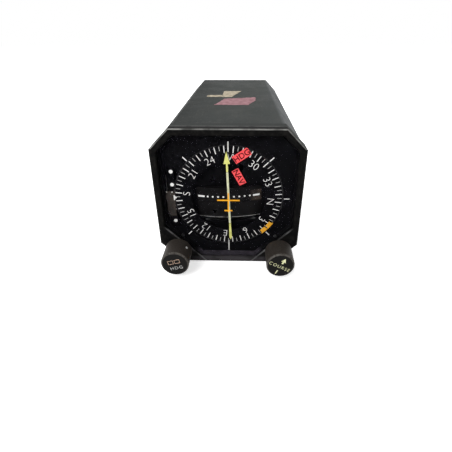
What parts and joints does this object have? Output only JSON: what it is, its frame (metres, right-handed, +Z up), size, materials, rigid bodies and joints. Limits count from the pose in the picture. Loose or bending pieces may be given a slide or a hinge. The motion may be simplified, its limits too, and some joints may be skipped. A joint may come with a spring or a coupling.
{
  "type": "course deviation indicator",
  "caption": "Square panel instrument with a turning compass card, course arrow, deviation bar, heading bug, flags and two knobs, in a long cut-cornered case.",
  "frame": {"origin": "centre of the bezel's rear face, which seats on the panel, on the axis of the compass card", "axes": "+Y runs rearwards along the case, away from the pilot; +Z is up; +X is to the pilot's right"},
  "size_m": [0.0826, 0.223, 0.0826],
  "materials": {
    "bezel_paint": "satin black",
    "glass": "polished",
    "orange_paint": "matt",
    "dial_black": "matt",
    "white_paint": "matt",
    "black_steel": "blackened",
    "steel": "satin",
    "cast_aluminium": "as cast",
    "case_paint": "wrinkle black, worn",
    "plated_shell": "olive plated",
    "insert_rubber": "matt",
    "gold_contact": "bright",
    "brass": "turned",
    "board_green": "lacquered",
    "lamp_glass": "clear",
    "bug_paint": "matt",
    "yellow_paint": "matt",
    "bar_paint": "matt",
    "red_paint": "matt",
    "pointer_paint": "matt",
    "knob_plastic": "satin"
  },
  "bodies": {
    "root": {"bezel": "bezel_paint", "front_glass": "glass", "airplane_symbol": "orange_paint", "dial_surround": "dial_black", "dial_mask": "dial_black", "lubber_lines": "white_paint", "glideslope_scale": "dial_black", "mask_screws": "black_steel", "bezel_screws": "steel", "front_frame": "cast_aluminium", "card_bearing": "steel", "mid_frame": "cast_aluminium", "rear_frame": "cast_aluminium", "frame_posts": "cast_aluminium", "case_cover": "case_paint", "rear_plate": "case_paint", "cover_screws": "steel", "connector_shell": "plated_shell", "connector_insert": "insert_rubber", "connector_contacts": "gold_contact", "knob_bushes": "brass", "servo_motor": "steel", "heading_synchro": "steel", "brush_block": "dial_black", "yoke_bearing": "brass", "differentials": "cast_aluminium", "amplifier_board": "board_green", "power_board": "board_green", "heading_flag_meter": "steel", "glideslope_meter": "steel", "glideslope_rod": "steel", "dial_lamps": "lamp_glass", "ground_stud": "steel"},
    "card": {"compass_card": "dial_black", "card_carrier": "cast_aluminium", "card_gear": "brass"},
    "servo": {"servo_pinion": "steel"},
    "synchro": {"synchro_pinion": "steel"},
    "bug": {"heading_bug": "bug_paint"},
    "course": {"course_disc": "dial_black", "course_arrow": "yellow_paint", "course_tail": "yellow_paint", "deviation_scale": "dial_black", "course_yoke": "cast_aluminium", "course_gear": "brass", "slip_rings": "brass", "deviation_meter": "steel", "nav_flag_meter": "steel", "to_from_meter": "steel"},
    "deviation": {"deviation_bar": "bar_paint"},
    "nav_flag": {"nav_flag": "red_paint"},
    "to_from": {"to_from_vane": "white_paint"},
    "heading_flag": {"heading_flag": "red_paint"},
    "glideslope": {"glideslope_pointer": "pointer_paint"},
    "course_knob": {"course_knob": "knob_plastic", "course_shaft": "steel"},
    "heading_knob": {"heading_knob": "knob_plastic", "heading_shaft": "steel"},
    "course_input": {"course_input_gear": "brass"},
    "heading_input": {"heading_input_gear": "brass"}
  },
  "joints": [
    {"name": "card_turn", "type": "hinge", "parent": "root", "child": "card", "pos_m": [0, 0, 0], "axis": [0, 1, 0], "continuous": true},
    {"name": "servo_turn", "type": "hinge", "parent": "root", "child": "servo", "pos_m": [-0.02291, 0.01, 0.02291], "axis": [0, 1, 0], "continuous": true},
    {"name": "synchro_turn", "type": "hinge", "parent": "root", "child": "synchro", "pos_m": [0.02291, 0.01, 0.02291], "axis": [0, 1, 0], "continuous": true},
    {"name": "bug_turn", "type": "hinge", "parent": "card", "child": "bug", "pos_m": [0, 0, 0], "axis": [0, 1, 0], "continuous": true},
    {"name": "course_turn", "type": "hinge", "parent": "card", "child": "course", "pos_m": [0, 0, 0], "axis": [0, 1, 0], "continuous": true},
    {"name": "deviation_swing", "type": "hinge", "parent": "course", "child": "deviation", "pos_m": [0, 0.05585, 0], "axis": [-0.0394, 0, 0.9992], "range_deg": [-13.5, 13.5]},
    {"name": "nav_flag_swing", "type": "hinge", "parent": "course", "child": "nav_flag", "pos_m": [-0.00618, 0.001, 0.01717], "axis": [0, -1, 0], "range_deg": [0, 60]},
    {"name": "to_from_swing", "type": "hinge", "parent": "course", "child": "to_from", "pos_m": [-0.01859, 0.001, -0.00073], "axis": [0, -1, 0], "range_deg": [-43.5, 43.5]},
    {"name": "heading_flag_swing", "type": "hinge", "parent": "root", "child": "heading_flag", "pos_m": [0.0175, -0.005, 0.0331], "axis": [0, 1, 0], "range_deg": [0, 42]},
    {"name": "glideslope_slide", "type": "slide", "parent": "root", "child": "glideslope", "axis": [0, 0, 1], "range_m": [-0.01575, 0.01575]},
    {"name": "course_knob_turn", "type": "hinge", "parent": "root", "child": "course_knob", "pos_m": [0.0297, -0.011, -0.03], "axis": [0, 1, 0], "continuous": true},
    {"name": "heading_knob_turn", "type": "hinge", "parent": "root", "child": "heading_knob", "pos_m": [-0.0297, -0.011, -0.03], "axis": [0, 1, 0], "continuous": true},
    {"name": "course_input_turn", "type": "hinge", "parent": "root", "child": "course_input", "pos_m": [0.0305, 0.056, -0.01803], "axis": [0, 1, 0], "continuous": true},
    {"name": "heading_input_turn", "type": "hinge", "parent": "root", "child": "heading_input", "pos_m": [-0.0305, 0.056, -0.01803], "axis": [0, 1, 0], "continuous": true}
  ],
  "couplings": [
    {"joint": "servo_turn", "follows": "card_turn", "ratio": -8},
    {"joint": "synchro_turn", "follows": "card_turn", "ratio": -8},
    {"joint": "course_knob_turn", "follows": "course_turn", "ratio": 5.6},
    {"joint": "course_input_turn", "follows": "course_turn", "ratio": -3.36},
    {"joint": "heading_knob_turn", "follows": "bug_turn", "ratio": 7.2},
    {"joint": "heading_input_turn", "follows": "bug_turn", "ratio": -4.32}
  ]
}
